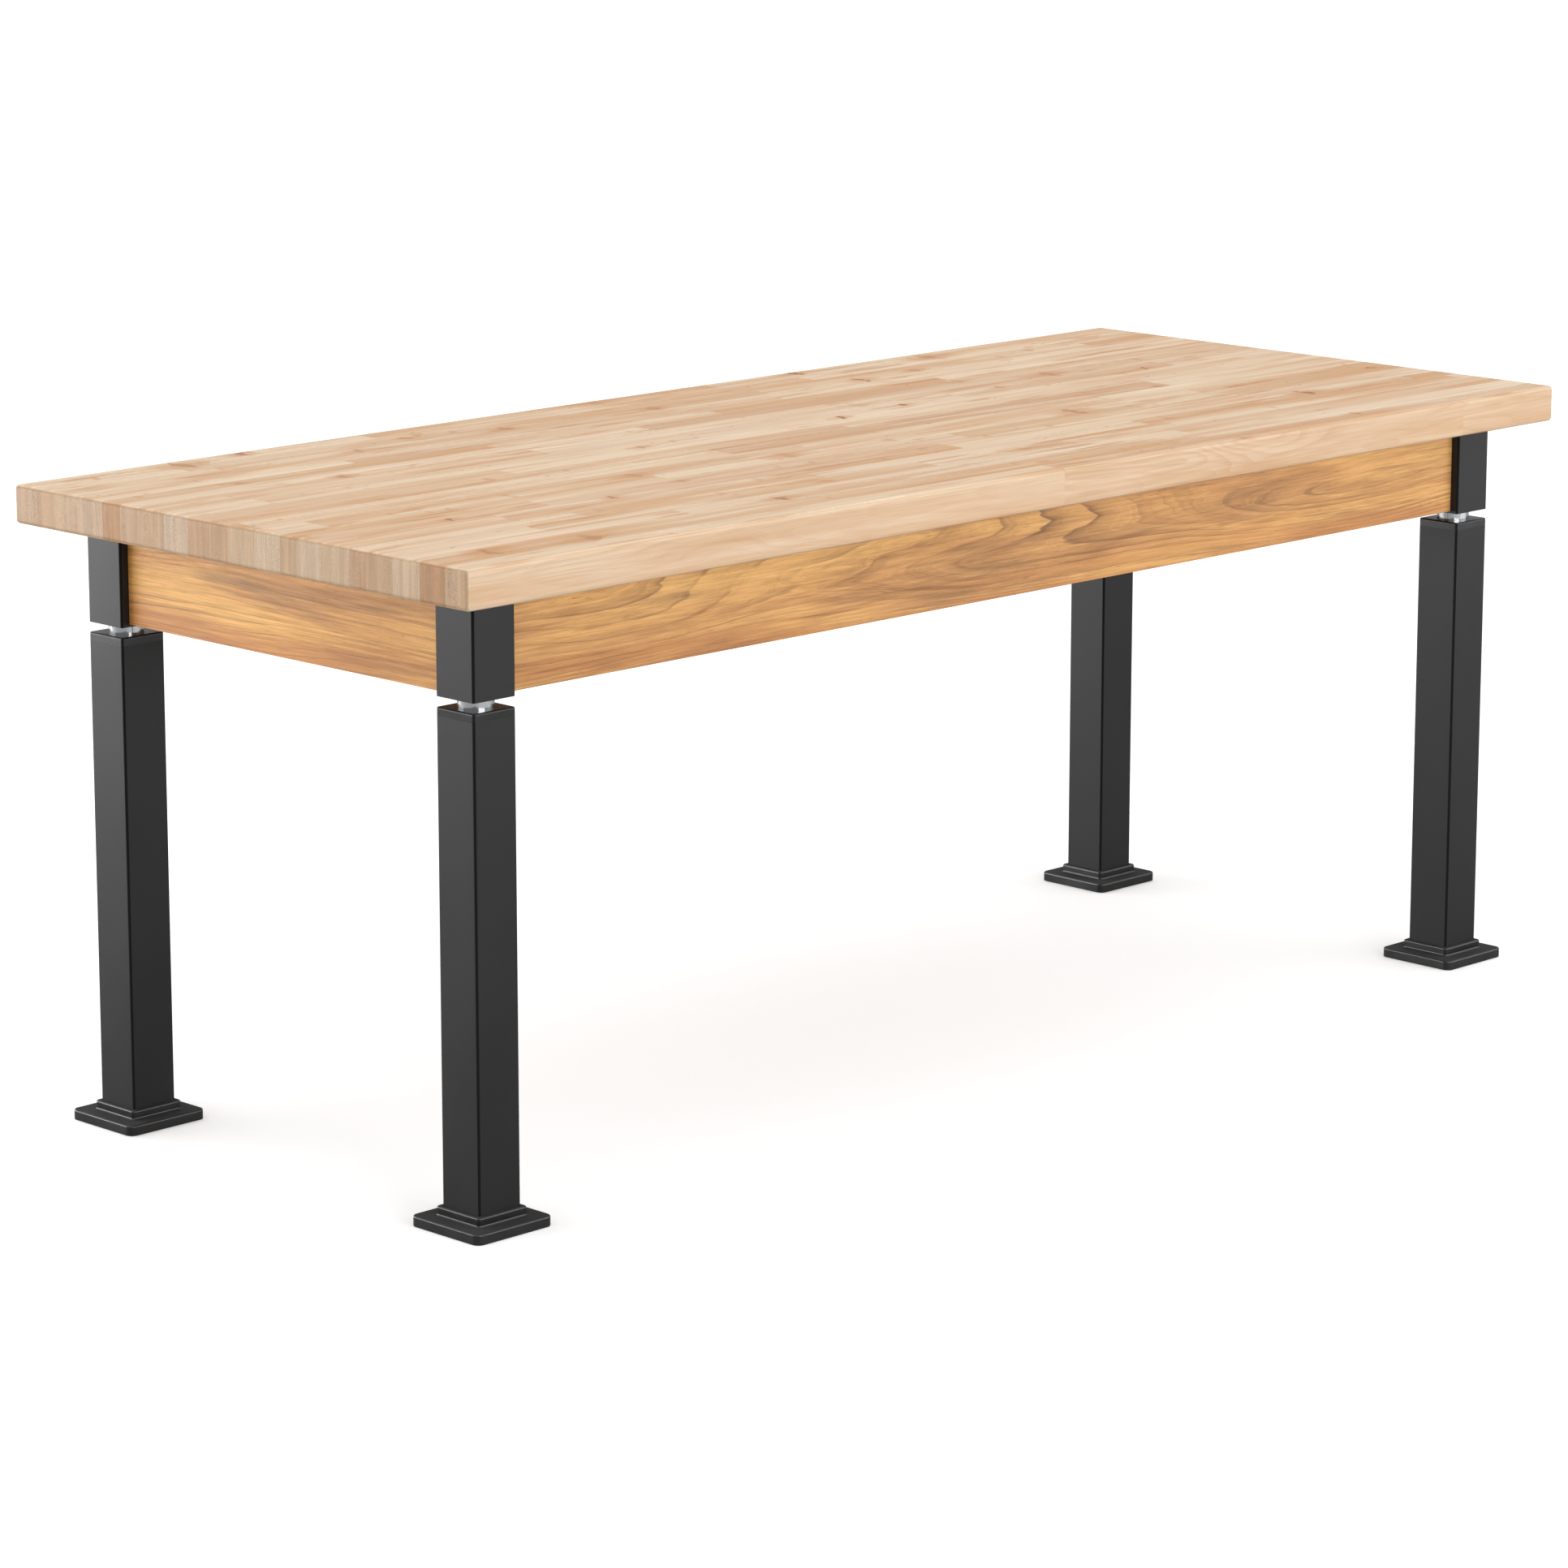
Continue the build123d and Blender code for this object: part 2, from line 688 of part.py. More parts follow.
with BuildPart() as pump_pistons:
    with BuildSketch(Plane.XZ.offset(-(pump_block_length - piston_length))):
        with Locations(*[(x, pump_axis_z) for x in pump_bore_xs]):
            Circle(pump_bore_radius - piston_clearance)
    extrude(amount=-piston_length)
    with BuildSketch(Plane.XZ.offset(-pump_block_length)):
        with Locations(*[(x, pump_axis_z) for x in pump_bore_xs]):
            Circle(piston_rod_radius)
    extrude(amount=-(yoke_front - pump_block_length))
save(pump_pistons, "pump_pistons")

# spindle: front journal, threaded length, neck in the end plate, and the hexagon for the crank
hex_end = apron_outer_y - 4.5
spindle_steps = (
    (pump_block_length - spindle_journal_depth + 1.0, pump_block_length, spindle_journal_radius),
    (pump_block_length + 1.0, end_plate_y - 1.0, spindle_radius),
    (end_plate_y - 1.0, pump_channel_length + 3.0, spindle_neck_radius),
)
with BuildPart() as pump_spindle:
    for start, end, radius in spindle_steps:
        with BuildSketch(Plane.XZ.offset(-start)):
            with Locations((0, pump_axis_z)):
                Circle(radius)
        extrude(amount=-(end - start))
    with BuildSketch(Plane.XZ.offset(-pump_block_length)):
        with Locations((0, pump_axis_z)):
            Circle(spindle_journal_radius)
    extrude(amount=-1.0)
    with BuildSketch(Plane.XZ.offset(-(pump_channel_length + 3.0))):
        with Locations((0, pump_axis_z)):
            RegularPolygon(hex_across_flats / 2, 6, major_radius=False)
    extrude(amount=-(hex_end - pump_channel_length - 3.0))
    chamfer(pump_spindle.faces().sort_by(Axis.Y)[-1].edges(), 0.8)
save(pump_spindle, "pump_spindle")

with BuildPart() as crank_bushing:
    with BuildSketch(Plane.XZ.offset(-apron_inner_y)):
        with Locations((0, pump_axis_z)):
            Circle(bushing_shank_radius)
    extrude(amount=-apron_thickness)
    with BuildSketch(Plane.XZ.offset(-apron_outer_y)):
        with Locations((0, pump_axis_z)):
            Circle(bushing_flange_radius)
    extrude(amount=-bushing_flange_thickness)
    fillet(crank_bushing.faces().sort_by(Axis.Y)[-1].edges(), 1.2)
    with BuildSketch(Plane.XZ.offset(-apron_inner_y)):
        with Locations((0, pump_axis_z)):
            Circle(bushing_bore_radius)
    extrude(amount=-(apron_thickness + bushing_flange_thickness), mode=Mode.SUBTRACT)
save(crank_bushing, "crank_bushing")


# ---- oil hoses, their fittings and clips -----------------------------------------------------

def hose_route(sx, sy):
    """Corners of the hose's centre line, from the pump port to the fitting in the post, with
    the bend radius at each inner corner. All hoses lie level, at the height of the pump."""
    port_x = sx * (pump_bore_xs[2] if sy < 0 else pump_bore_xs[3])
    corner_x = sx * (post_x - hose_inset)
    corner_y = sy * (post_y - hose_inset)
    end = (sx * (post_x - hose_start), sy * (post_y - hose_start))
    if sy < 0:
        points = [(port_x, -pump_fitting_length), (port_x, corner_y), (corner_x, corner_y), end]
        radii = [hose_bend, hose_corner_bend]
    else:
        points = [
            (port_x, -pump_fitting_length),
            (port_x, rear_hose_run_y),
            (corner_x, rear_hose_run_y),
            (corner_x, corner_y),
            end,
        ]
        radii = [hose_bend, hose_bend, hose_corner_bend]
    return [(x, y, pump_axis_z) for x, y in points], radii


for corner, signs in corners.items():
    points, radii = hose_route(*signs)
    with BuildPart() as oil_hose:
        with BuildLine() as route:
            FilletPolyline(*points, radius=radii)
        with BuildSketch(Plane(origin=route.line @ 0, z_dir=route.line % 0)):
            Circle(hose_radius)
        sweep()
    save(oil_hose, f"{corner}_oil_hose")

with BuildPart() as hose_fittings:
    with BuildSketch(Plane.XY.offset(fitting_bottom)):
        with Locations(*all_centres):
            Circle(fitting_radius)
    extrude(amount=fitting_height)
    for sx, sy in corners.values():
        cx, cy = centre_of(sx, sy)
        end = (cx - sx * hose_start, cy - sy * hose_start, pump_axis_z)
        with BuildSketch(Plane(origin=end, z_dir=(-sx, -sy, 0))):
            Circle(fitting_outlet_radius)
        extrude(amount=-hose_start)
    with BuildSketch(Plane.XZ):
        with Locations(*[(x, pump_axis_z) for x in pump_bore_xs]):
            RegularPolygon(fitting_outlet_radius + 1.0, 6, major_radius=False)
    extrude(amount=pump_fitting_length)
save(hose_fittings, "hose_fittings")

# moulded clips that hang the hoses under the top
clips_along_x = [
    (sx * x, sy_y)
    for sx in (-1, 1)
    for x in (130.0, 330.0, 530.0, 700.0)
    for sy_y in (-(post_y - hose_inset), rear_hose_run_y)
]
clips_along_y = [(sx * (post_x - hose_inset), y) for sx in (-1, 1) for y in (-120.0, 60.0, 180.0)]
clip_bottom = pump_axis_z - hose_radius - 2.0


def hose_clip_bodies(points, size_x, size_y, bore_turn):
    """Blocks from under the hoses up to the top, bored along the hose."""
    with Locations(*[(x, y, clip_bottom) for x, y in points]):
        Box(size_x, size_y, slab_z - clip_bottom, align=on_base)
    with Locations(*[(x, y, pump_axis_z) for x, y in points]):
        Cylinder(hose_radius + seat_clearance, hose_clip_width, rotation=bore_turn, mode=Mode.SUBTRACT)


with BuildPart() as hose_clips:
    hose_clip_bodies(clips_along_x, hose_clip_length, hose_clip_width, (0, 90, 0))
    hose_clip_bodies(clips_along_y, hose_clip_width, hose_clip_length, (90, 0, 0))
save(hose_clips, "hose_clips")
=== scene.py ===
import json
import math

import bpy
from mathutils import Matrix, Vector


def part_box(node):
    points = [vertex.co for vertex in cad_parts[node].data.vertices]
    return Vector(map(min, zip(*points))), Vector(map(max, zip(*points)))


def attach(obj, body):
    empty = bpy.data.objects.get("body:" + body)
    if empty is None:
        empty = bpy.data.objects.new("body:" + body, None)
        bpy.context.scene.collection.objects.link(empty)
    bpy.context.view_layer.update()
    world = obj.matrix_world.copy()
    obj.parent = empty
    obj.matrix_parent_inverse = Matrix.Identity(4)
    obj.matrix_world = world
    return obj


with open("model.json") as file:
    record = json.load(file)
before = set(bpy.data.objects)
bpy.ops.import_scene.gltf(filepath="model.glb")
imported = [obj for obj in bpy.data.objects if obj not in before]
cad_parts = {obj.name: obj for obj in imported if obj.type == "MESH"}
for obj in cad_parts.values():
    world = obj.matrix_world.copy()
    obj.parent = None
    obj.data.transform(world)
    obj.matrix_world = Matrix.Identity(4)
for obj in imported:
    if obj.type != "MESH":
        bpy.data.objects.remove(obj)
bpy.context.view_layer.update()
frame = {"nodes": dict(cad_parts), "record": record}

# Butcher block table: materials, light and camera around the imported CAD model.
#
# Lengths are metres in the CAD frame: +X runs along the table, +Y to its back, +Z up, and the
# origin is on the floor under the middle of the top. The CAD meshes are shown as they are.

MM = 0.001


# ---- node graphs -----------------------------------------------------------------------------

def rgb(red, green, blue):
    """Linear colour with alpha from sRGB values of 0 to 255."""
    def linear(value):
        value /= 255
        return value / 12.92 if value <= 0.04045 else ((value + 0.055) / 1.055) ** 2.4
    return (linear(red), linear(green), linear(blue), 1.0)


class Graph:
    """One material's node tree. Its methods add a node and return the node's output socket."""

    def __init__(self, name):
        self.material = bpy.data.materials.new(name)
        self.material.use_nodes = True
        self.nodes = self.material.node_tree.nodes
        self.links = self.material.node_tree.links
        self.nodes.clear()
        self.shader = self.nodes.new("ShaderNodeBsdfPrincipled")
        self.output = self.nodes.new("ShaderNodeOutputMaterial")
        self.links.new(self.shader.outputs["BSDF"], self.output.inputs["Surface"])

    def put(self, socket, value):
        """Link a socket, or set a number, vector or colour on it."""
        if isinstance(value, bpy.types.NodeSocket):
            self.links.new(value, socket)
        else:
            socket.default_value = value

    def set(self, **values):
        """Set the shader's own inputs, as in set(Base_Color=..., Roughness=...)."""
        for name, value in values.items():
            self.put(self.shader.inputs[name.replace("_", " ")], value)

    def coordinates(self):
        """Place on the object, in metres of the CAD frame."""
        return self.nodes.new("ShaderNodeTexCoord").outputs["Object"]

    def normal(self):
        return self.nodes.new("ShaderNodeNewGeometry").outputs["Normal"]

    def math(self, operation, a, b=0.0):
        node = self.nodes.new("ShaderNodeMath")
        node.operation = operation
        for socket, value in zip(node.inputs, (a, b)):
            self.put(socket, value)
        return node.outputs[0]

    def add(self, a, b):
        return self.math("ADD", a, b)

    def times(self, a, b):
        return self.math("MULTIPLY", a, b)

    def split(self, vector):
        node = self.nodes.new("ShaderNodeSeparateXYZ")
        self.put(node.inputs[0], vector)
        return node.outputs[0], node.outputs[1], node.outputs[2]

    def join(self, x, y, z):
        node = self.nodes.new("ShaderNodeCombineXYZ")
        for socket, value in zip(node.inputs, (x, y, z)):
            self.put(socket, value)
        return node.outputs[0]

    def vector(self, operation, a, b):
        node = self.nodes.new("ShaderNodeVectorMath")
        node.operation = operation
        self.put(node.inputs[0], a)
        self.put(node.inputs[1], b)
        return node.outputs[0]

    def noise(self, vector, frequency, detail=2.0, roughness=0.5, distortion=0.0):
        """Noise of 0 to 1 with a frequency for each axis, in cycles a metre."""
        node = self.nodes.new("ShaderNodeTexNoise")
        self.put(node.inputs["Vector"], self.vector("MULTIPLY", vector, frequency))
        self.put(node.inputs["Scale"], 1.0)
        self.put(node.inputs["Detail"], detail)
        self.put(node.inputs["Roughness"], roughness)
        self.put(node.inputs["Distortion"], distortion)
        return node.outputs[0]

    def cells(self, vector, frequency):
        """Distance to the nearest of the scattered points, and a random colour for each point."""
        node = self.nodes.new("ShaderNodeTexVoronoi")
        self.put(node.inputs["Vector"], self.vector("MULTIPLY", vector, frequency))
        self.put(node.inputs["Scale"], 1.0)
        return node.outputs["Distance"], node.outputs["Color"]

    def scatter(self, vector, spacing):
        """Scattered points in the XY plane: how far off the nearest one lies along x and y, in
        metres, and its random colour."""
        node = self.nodes.new("ShaderNodeTexVoronoi")
        node.voronoi_dimensions = "2D"
        scaled = self.vector("MULTIPLY", vector, (1 / spacing, 1 / spacing, 0.0))
        self.put(node.inputs["Vector"], scaled)
        self.put(node.inputs["Scale"], 1.0)
        self.put(node.inputs["Randomness"], 0.95)
        off = self.vector("SUBTRACT", scaled, node.outputs["Position"])
        off_x, off_y = self.split(self.vector("MULTIPLY", off, (spacing, spacing, 0.0)))[:2]
        return off_x, off_y, node.outputs["Color"]

    def upright_corner(self):
        """0 on flat faces, 1 along the middle of a rounded upright corner, where the normal
        leans away from both faces."""
        across, through = self.split(self.normal())[:2]
        least = self.math("MINIMUM", self.math("ABSOLUTE", across), self.math("ABSOLUTE", through))
        return self.span(least, 0.12, 0.45)

    def oval(self, off_x, off_y, half_sizes):
        """Distance from the middle of an oval, 1 on its rim."""
        half_x, half_y = half_sizes
        across, up = self.times(off_x, 1 / half_x), self.times(off_y, 1 / half_y)
        return self.math("SQRT", self.add(self.times(across, across), self.times(up, up)))

    def random(self, vector):
        """Three random numbers for each whole-number vector."""
        node = self.nodes.new("ShaderNodeTexWhiteNoise")
        self.put(node.inputs["Vector"], vector)
        return self.split(node.outputs["Color"])

    def span(self, value, low, high, to_low=0.0, to_high=1.0, smooth=True):
        """Value on its way from low to high, mapped to the way from to_low to to_high and held
        at either end."""
        node = self.nodes.new("ShaderNodeMapRange")
        node.interpolation_type = "SMOOTHSTEP" if smooth else "LINEAR"
        for socket, given in zip(node.inputs, (value, low, high, to_low, to_high)):
            self.put(socket, given)
        return node.outputs[0]

    def ramp(self, value, *stops):
        """Colour ramp with stops of (position, colour)."""
        node = self.nodes.new("ShaderNodeValToRGB")
        elements = node.color_ramp.elements
        while len(elements) < len(stops):
            elements.new(1.0)
        for element, (position, colour) in zip(elements, stops):
            element.position = position
            element.color = colour
        self.put(node.inputs[0], value)
        return node.outputs[0]

    def mix(self, factor, a, b):
        """Colour a where the factor is 0, b where it is 1."""
        node = self.nodes.new("ShaderNodeMix")
        node.data_type = "RGBA"
        # a mix node has sockets for numbers, vectors and colours: these are the colour ones
        for index, value in ((0, factor), (6, a), (7, b)):
            self.put(node.inputs[index], value)
        return node.outputs[2]

    def stain(self, colour, mask, low, high, strength, towards):
        """Colour moved towards another where the mask runs from low to high."""
        return self.mix(self.span(mask, low, high, 0.0, strength), colour, towards)

    def shade(self, colour, amount):
        """Colour times a number."""
        return self.vector("MULTIPLY", colour, self.join(amount, amount, amount))

    def darken(self, colour, mask, least):
        """Colour times a number that falls from 1 to this least where the mask is 1."""
        return self.shade(colour, self.span(mask, 0.0, 1.0, 1.0, least))

    def bump(self, height, distance, strength=1.0):
        """Relief of a height of 0 to 1, this many metres deep."""
        node = self.nodes.new("ShaderNodeBump")
        self.put(node.inputs["Height"], height)
        self.put(node.inputs["Distance"], distance)
        self.put(node.inputs["Strength"], strength)
        self.set(Normal=node.outputs[0])


# ---- wood ------------------------------------------------------------------------------------

STAVE = 38.1 * MM
BOARD_SHORTEST = 0.42
BOARD_LONGEST = 0.95
MAPLE_RING_WIDEST = 3.4 * MM
MAPLE_RING_NARROWEST = 2.0 * MM
PITH_NEAREST = 0.07
PITH_FURTHEST = 0.19
PITH_SWAY = 0.02
RING_WARP = 0.022
KNOT_SPACING = 0.114
KNOT_RAGGED = 7 * MM
KNOT_CORE = (5.5 * MM, 17 * MM)         # half sizes along and across the boards
KNOT_HALO = (42 * MM, 19 * MM)
WOOD_RELIEF = 0.12 * MM


def maple_boards(g, x, y, back):
    """Rows of uneven width with boards of uneven length butted end to end along each row. Gives
    the row's number and the place across it, the board's number and the place along it."""
    even_row = g.times(g.add(y, back), 1 / STAVE)
    wave = g.times(g.math("SINE", g.times(even_row, 1.7)), 0.12)
    wave = g.add(wave, g.times(g.math("SINE", g.times(even_row, 4.1)), 0.06))
    across = g.add(even_row, wave)
    row = g.math("FLOOR", across)
    in_row = g.math("FRACT", across)
    row_length, row_start, row_sway = g.random(g.join(row, 3.0, 7.0))
    length = g.span(row_length, 0.0, 1.0, 1 / BOARD_LONGEST, 1 / BOARD_SHORTEST, smooth=False)
    along = g.add(g.times(x, length), g.times(row_start, 9.0))
    sway = g.math("SINE", g.add(g.times(along, 1.9), g.times(row_sway, 6.0)))
    along = g.add(along, g.times(sway, 0.17))
    board = g.math("FLOOR", along)
    in_board = g.math("FRACT", along)
    return row, in_row, board, in_board


def maple_rings(g, own, in_row, height, ring_shift, mood, row, board):
    """Dark late wood of growth rings round a pith that runs along the board, well to one side
    of it: straight lines on the top face and upright lines on the ends."""
    pith_off = g.span(ring_shift, 0.0, 1.0, PITH_NEAREST, PITH_FURTHEST)
    pith_y = g.add(g.times(g.math("SUBTRACT", in_row, 0.5), STAVE), pith_off)
    pith_z = g.add(height, g.span(mood, 0.0, 1.0, -PITH_SWAY, PITH_SWAY))
    radius = g.math("SQRT", g.add(g.times(pith_y, pith_y), g.times(pith_z, pith_z)))
    warp = g.noise(own, (2.6, 2.0, 5.0), detail=2.0, roughness=0.5)
    radius = g.add(radius, g.times(warp, RING_WARP))
    rings_a_metre = g.span(mood, 0.0, 1.0, 1 / MAPLE_RING_WIDEST, 1 / MAPLE_RING_NARROWEST)
    ring = g.times(radius, rings_a_metre)
    phase = g.math("FRACT", ring)
    late_wood = g.times(g.span(phase, 0.35, 0.92), g.span(phase, 1.0, 0.93))
    ring_depth = g.random(g.join(g.math("FLOOR", ring), board, row))[0]
    return g.times(late_wood, g.span(ring_depth, 0.0, 1.0, 0.25, 1.0))


def maple_tone(g, own, tone, late_wood, long_edge):
    """Tone of the board, then long feathered zones and streaks that follow the grain."""
    colour = g.ramp(
        tone,
        (0.00, rgb(234, 210, 180)),
        (0.35, rgb(229, 201, 168)),
        (0.70, rgb(221, 187, 150)),
        (0.90, rgb(214, 176, 135)),
        (1.00, rgb(206, 161, 117)),
    )
    zones = g.noise(own, (1.2, 21.0, 21.0), detail=2.0, roughness=0.5)
    colour = g.stain(colour, zones, 0.50, 0.70, 0.60, rgb(209, 156, 106))
    colour = g.stain(colour, zones, 0.46, 0.30, 0.60, rgb(233, 211, 180))
    streaks = g.noise(own, (2.7, 46.0, 46.0), detail=3.0, roughness=0.55)
    colour = g.stain(colour, streaks, 0.52, 0.64, 0.50, rgb(206, 147, 92))
    colour = g.stain(colour, streaks, 0.45, 0.34, 0.50, rgb(242, 225, 199))
    hairs = g.noise(own, (3.2, 170.0, 170.0), detail=3.0, roughness=0.6)
    colour = g.stain(colour, hairs, 0.52, 0.70, 0.38, rgb(200, 143, 94))
    pink = g.noise(own, (0.9, 9.0, 9.0), detail=2.0)
    colour = g.stain(colour, pink, 0.48, 0.68, 0.26, rgb(214, 180, 156))
    edge_tone = g.mix(g.span(streaks, 0.35, 0.65), rgb(234, 210, 180), rgb(222, 190, 155))
    colour = g.mix(g.times(long_edge, 0.62), colour, edge_tone)
    return g.mix(g.times(late_wood, 0.24), colour, rgb(194, 140, 92))


def maple_flames(g, colour, own, x, z, tone, long_edge):
    """Flames on the long edges, where the saw runs along the rings."""
    flame = g.noise(g.join(x, z, g.times(tone, 9.0)), (2.2, 16.0, 1.0), detail=1.0, distortion=0.5)
    phase = g.math("FRACT", g.times(flame, 20.0))
    line = g.times(g.span(phase, 0.30, 0.92), g.span(phase, 1.0, 0.94))
    zone = g.span(g.noise(own, (3.0, 1.0, 8.0), detail=2.0), 0.46, 0.60)
    mask = g.times(g.times(line, zone), g.times(long_edge, 0.26))
    return g.mix(mask, colour, rgb(190, 140, 92))


def maple_knots(g, colour, place, off_edge):
    """Small slanted knots, each in a brown halo that fades along the grain."""
    ragged = g.noise(place, (60.0, 60.0, 60.0), detail=3.0, roughness=0.6)
    off_x, off_y, knot_random = g.scatter(place, KNOT_SPACING)
    pick, size, tone = g.split(knot_random)
    off_x = g.add(off_x, g.span(ragged, 0.3, 0.7, -KNOT_RAGGED, KNOT_RAGGED, smooth=False))
    smallness = g.span(size, 0.0, 1.0, 0.62, 1.8)
    chosen = g.times(g.span(pick, 0.62, 0.63), off_edge)
    core = g.times(g.oval(off_x, off_y, KNOT_CORE), smallness)
    knot = g.times(g.span(core, 1.15, 0.65), chosen)
    rim = g.times(g.oval(off_x, off_y, KNOT_HALO), smallness)
    halo = g.times(g.span(rim, 1.1, 0.1), chosen)
    colour = g.mix(g.times(halo, 0.66), colour, rgb(202, 142, 86))
    return g.mix(g.times(knot, g.span(tone, 0.0, 1.0, 0.20, 0.92)), colour, rgb(156, 92, 46))


def maple_marks(g, colour, own, long_edge, off_edge):
    """Brown marks away from the long edges, and pips everywhere."""
    marks = g.noise(own, (40.0, 24.0, 24.0), detail=2.0, roughness=0.55)
    zone = g.span(g.noise(own, (3.0, 14.0, 14.0), detail=1.0), 0.52, 0.62)
    mark = g.times(g.times(g.span(marks, 0.62, 0.72), zone), off_edge)
    colour = g.mix(g.times(mark, 0.55), colour, rgb(194, 136, 84))
    pip_distance, pip_random = g.cells(own, (30.0, 105.0, 105.0))
    rarity = g.span(long_edge, 0.0, 1.0, 0.94, 0.88)
    picked = g.math("GREATER_THAN", g.split(pip_random)[1], rarity)
    pip = g.times(g.span(pip_distance, 0.17, 0.08), picked)
    return g.mix(g.times(pip, 0.8), colour, rgb(170, 106, 60))


def maple_end_grain(g, own, ring_shift, late_wood):
    """Colour of the boards' ends: upright bands, rings, vessels and beads of darker pores."""
    tone = g.ramp(
        ring_shift,
        (0.00, rgb(214, 187, 156)),
        (0.30, rgb(207, 174, 139)),
        (0.60, rgb(199, 162, 126)),
        (0.82, rgb(191, 143, 101)),
        (1.00, rgb(207, 180, 152)),
    )
    upright = g.noise(own, (1.0, 120.0, 5.0), detail=4.0, roughness=0.7)
    colour = g.shade(tone, g.span(upright, 0.30, 0.70, 0.78, 1.02))
    colour = g.mix(g.times(late_wood, 0.42), colour, rgb(168, 128, 96))
    vessels = g.noise(own, (40.0, 1500.0, 420.0), detail=2.0)
    colour = g.shade(colour, g.span(vessels, 0.35, 0.65, 0.93, 1.05))
    bead_zone = g.span(g.noise(own, (1.0, 62.0, 5.0), detail=1.0), 0.52, 0.62)
    beads = g.noise(own, (40.0, 500.0, 500.0), detail=1.0)
    bead = g.times(bead_zone, g.span(beads, 0.4, 0.62, 0.04, -0.15))
    return g.shade(colour, g.add(1.0, bead))


def maple_top():
    """Glued maple staves: each board has its own tone, grain and growth rings, with end grain on
    the two ends of the top."""
    g = Graph("maple")
    place = g.coordinates()
    x, y, z = g.split(place)
    low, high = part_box("butcher_block_top")
    row, in_row, board, in_board = maple_boards(g, x, y, high.y)
    tone, ring_shift, mood = g.random(g.join(row, board, 1.0))
    shift = g.join(g.times(tone, 7.0), g.times(mood, 5.0), g.times(ring_shift, 3.0))
    own = g.vector("ADD", place, shift)
    facing_x = g.math("ABSOLUTE", g.split(g.normal())[0])
    end_grain = g.span(facing_x, 0.55, 0.9)
    facing_y = g.math("ABSOLUTE", g.split(g.normal())[1])
    long_edge = g.span(facing_y, 0.55, 0.9)
    off_edge = g.span(long_edge, 1.0, 0.0)

    height = g.add(z, -(low.z + high.z) / 2)
    late_wood = maple_rings(g, own, in_row, height, ring_shift, mood, row, board)
    colour = maple_tone(g, own, tone, late_wood, long_edge)
    colour = maple_flames(g, colour, own, x, z, tone, long_edge)

    # fibres, short flecks, and cross figure in some boards
    fibres = g.noise(own, (11.0, 560.0, 560.0), detail=3.0, roughness=0.65)
    colour = g.shade(colour, g.span(fibres, 0.25, 0.75, 0.93, 1.05))
    flecks = g.noise(own, (38.0, 900.0, 900.0), detail=2.0, roughness=0.6)
    colour = g.stain(colour, flecks, 0.64, 0.76, 0.30, rgb(186, 136, 96))
    figure_zone = g.span(g.noise(own, (3.0, 30.0, 30.0), detail=1.0), 0.5, 0.64)
    figure_zone = g.times(figure_zone, off_edge)
    figure = g.noise(own, (200.0, 110.0, 110.0), detail=1.0)
    sheen = g.times(figure_zone, g.span(figure, 0.35, 0.65, -0.045, 0.035))
    colour = g.shade(colour, g.add(1.0, sheen))

    # brown patches that fade along the grain, then knots, marks and pips
    patches = g.noise(own, (7.0, 62.0, 62.0), detail=3.0, roughness=0.55)
    stained = g.times(g.span(patches, 0.555, 0.68), g.span(mood, 0.2, 0.4))
    stained = g.times(stained, g.span(long_edge, 0.0, 1.0, 0.62, 0.15))
    colour = g.mix(stained, colour, rgb(196, 134, 78))
    colour = maple_knots(g, colour, place, off_edge)
    colour = maple_marks(g, colour, own, long_edge, off_edge)
    colour = g.mix(end_grain, colour, maple_end_grain(g, own, ring_shift, late_wood))

    # glue lines between the rows, and butt joints between boards
    row_edge = g.math("MINIMUM", in_row, g.math("SUBTRACT", 1.0, in_row))
    board_edge = g.math("MINIMUM", in_board, g.math("SUBTRACT", 1.0, in_board))
    glue = g.math("MAXIMUM", g.span(row_edge, 0.012, 0.004), g.span(board_edge, 0.0012, 0.0005))
    colour = g.mix(g.times(glue, 0.26), colour, rgb(164, 120, 86))

    # the rounded edges are darkened: painted shade that tones down the highlight they catch
    rise = g.split(g.normal())[2]
    rounded = g.times(g.span(rise, 0.20, 0.55), g.span(rise, 0.97, 0.75))
    colour = g.darken(colour, rounded, 0.86)

    roughness = g.span(g.noise(place, (14.0, 120.0, 120.0), detail=3.0), 0.3, 0.7, 0.42, 0.52)
    roughness = g.add(roughness, g.times(end_grain, 0.10))
    relief = g.add(g.times(fibres, 0.5), g.times(late_wood, 0.12))
    relief = g.math("SUBTRACT", relief, g.times(glue, 0.6))
    g.set(Base_Color=colour, Roughness=roughness, Specular_IOR_Level=0.3)
    g.bump(relief, WOOD_RELIEF, 0.6)
    return g.material


RING_SPACING = 6.6 * MM
DEPTH_SWING = 0.090             # how far the rings are pushed over the height of the board
RIPPLE_SWING = 0.010            # and by small ripples


